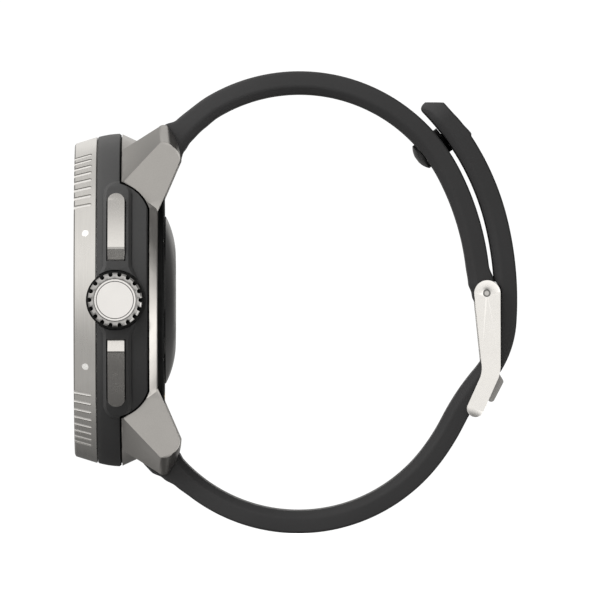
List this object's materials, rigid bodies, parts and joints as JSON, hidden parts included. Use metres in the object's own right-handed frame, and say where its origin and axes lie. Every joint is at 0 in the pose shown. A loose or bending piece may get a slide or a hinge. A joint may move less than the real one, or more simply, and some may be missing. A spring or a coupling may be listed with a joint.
{
  "type": "dive watch",
  "caption": "Round dive watch with turning bezel, knurled crown, two side push buttons, optical sensor back and a closed silicone strap with a tang buckle and keeper stud.",
  "frame": {"origin": "centre of the optical sensor's flat face on the case back, on the dial axis", "axes": "+X from the dial towards the wrist, +Z towards 12 o'clock, -Y towards the crown at 3 o'clock"},
  "size_m": [0.065, 0.0534, 0.0679],
  "materials": {
    "bezel_steel": "brushed, warm grey",
    "bezel_insert": "black ceramic",
    "white_mark": "white lume",
    "polymer": "fine matt",
    "frame_steel": "fine satin",
    "inner_steel": "machined",
    "crystal": "clear sapphire",
    "black_rubber": "matt",
    "black_plastic": "matt",
    "display": "display glass",
    "gold_contact": "gold plated",
    "board_green": "solder mask",
    "chip_black": "moulded",
    "battery_foil": "foil",
    "cover_black": "fine matt",
    "sensor_glass": "polished black",
    "led": "clear lens",
    "crown_steel": "polished",
    "spring_steel": "bright wire",
    "button_steel": "satin",
    "bar_steel": "bright",
    "silicone": "matt silicone",
    "buckle_steel": "fine satin"
  },
  "bodies": {
    "case": {"lug_frame": "frame_steel", "mid_case": "polymer", "crystal_holder": "inner_steel", "crystal": "crystal", "crystal_gasket": "black_rubber", "bezel_gasket": "black_rubber", "bezel_click_ring": "inner_steel", "flange_ring": "black_plastic", "display_panel": "display", "display_tray": "black_plastic", "main_board": "board_green", "board_chips": "chip_black", "battery": "battery_foil", "vibration_motor": "inner_steel", "antenna_ring": "gold_contact", "depth_sensor": "inner_steel", "back_cover": "cover_black", "back_gasket": "black_rubber", "sensor_window": "sensor_glass", "sensor_board": "board_green", "sensor_leds": "led", "charging_contacts": "gold_contact", "case_screws": "inner_steel", "crown_tube": "inner_steel", "crown_seal": "black_rubber", "crown_encoder": "black_plastic", "crown_spring": "spring_steel", "upper_button_switch": "black_plastic", "lower_button_switch": "black_plastic", "upper_button_spring": "spring_steel", "lower_button_spring": "spring_steel", "upper_button_seal": "black_rubber", "lower_button_seal": "black_rubber", "upper_bar_tube": "bar_steel", "lower_bar_tube": "bar_steel", "upper_bar_spring": "spring_steel", "lower_bar_spring": "spring_steel"},
    "bezel": {"bezel_ring": "bezel_steel", "bezel_insert": "bezel_insert", "bezel_dots": "white_mark"},
    "crown_slider": {"crown_yoke": "inner_steel"},
    "crown": {"crown_knob": "crown_steel", "crown_cap": "crown_steel", "crown_base": "black_plastic", "crown_stem": "crown_steel"},
    "upper_button": {"upper_button_cap": "button_steel", "upper_button_stem": "button_steel"},
    "lower_button": {"lower_button_cap": "button_steel", "lower_button_stem": "button_steel"},
    "upper_tip_near": {"upper_bar_tip_near": "bar_steel"},
    "upper_tip_far": {"upper_bar_tip_far": "bar_steel"},
    "lower_tip_near": {"lower_bar_tip_near": "bar_steel"},
    "lower_tip_far": {"lower_bar_tip_far": "bar_steel"},
    "short_strap": {"strap_short": "silicone", "strap_stud": "black_plastic", "stud_rivet": "crown_steel", "buckle_pin": "buckle_steel"},
    "long_strap": {"strap_long": "silicone"},
    "buckle": {"buckle_frame": "buckle_steel"},
    "tongue": {"buckle_tongue": "buckle_steel"}
  },
  "joints": [
    {"name": "bezel_turn", "type": "hinge", "parent": "case", "child": "bezel", "pos_m": [0, 0, 0], "axis": [1, 0, 0], "continuous": true},
    {"name": "crown_push", "type": "slide", "parent": "case", "child": "crown_slider", "axis": [0, 1, 0], "range_m": [0, 0.0005], "stiffness_N_per_m": 2500, "springref_m": -0.0006, "deforming": ["crown_spring"]},
    {"name": "crown_turn", "type": "hinge", "parent": "crown_slider", "child": "crown", "pos_m": [-0.00872, 0, 0], "axis": [0, -1, 0], "continuous": true},
    {"name": "upper_button_push", "type": "slide", "parent": "case", "child": "upper_button", "axis": [0, 0.9063, -0.4226], "range_m": [0, 0.0005], "stiffness_N_per_m": 2500, "springref_m": -0.0004, "deforming": ["upper_button_spring"]},
    {"name": "lower_button_push", "type": "slide", "parent": "case", "child": "lower_button", "axis": [0, 0.9063, 0.4226], "range_m": [0, 0.0005], "stiffness_N_per_m": 2500, "springref_m": -0.0004, "deforming": ["lower_button_spring"]},
    {"name": "upper_near_tip_slide", "type": "slide", "parent": "case", "child": "upper_tip_near", "axis": [0, 1, 0], "range_m": [0, 0.0015], "stiffness_N_per_m": 1200, "springref_m": -0.001, "deforming": ["upper_bar_spring"]},
    {"name": "upper_far_tip_slide", "type": "slide", "parent": "case", "child": "upper_tip_far", "axis": [0, -1, 0], "range_m": [0, 0.0015], "stiffness_N_per_m": 1200, "springref_m": -0.001, "deforming": ["upper_bar_spring"]},
    {"name": "lower_near_tip_slide", "type": "slide", "parent": "case", "child": "lower_tip_near", "axis": [0, 1, 0], "range_m": [0, 0.0015], "stiffness_N_per_m": 1200, "springref_m": -0.001, "deforming": ["lower_bar_spring"]},
    {"name": "lower_far_tip_slide", "type": "slide", "parent": "case", "child": "lower_tip_far", "axis": [0, -1, 0], "range_m": [0, 0.0015], "stiffness_N_per_m": 1200, "springref_m": -0.001, "deforming": ["lower_bar_spring"]},
    {"name": "strap_open", "type": "hinge", "parent": "case", "child": "short_strap", "pos_m": [-0.0017, 0, 0.022], "axis": [0, -1, 0], "range_deg": [0, 55], "deforming": ["strap_short", "strap_long"]},
    {"name": "long_strap_open", "type": "hinge", "parent": "case", "child": "long_strap", "pos_m": [-0.0017, 0, -0.022], "axis": [0, 1, 0], "range_deg": [0, 55]},
    {"name": "buckle_swing", "type": "hinge", "parent": "short_strap", "child": "buckle", "pos_m": [0.0457, 0, 0.001], "axis": [0, -1, 0], "range_deg": [0, 60]},
    {"name": "tongue_swing", "type": "hinge", "parent": "short_strap", "child": "tongue", "pos_m": [0.0457, 0, 0.001], "axis": [0, -1, 0], "range_deg": [0, 75]}
  ],
  "couplings": [
    {"joint": "long_strap_open", "follows": "strap_open", "ratio": 1},
    {"joint": "buckle_swing", "follows": "strap_open", "ratio": 1},
    {"joint": "tongue_swing", "follows": "strap_open", "ratio": 1.35}
  ]
}
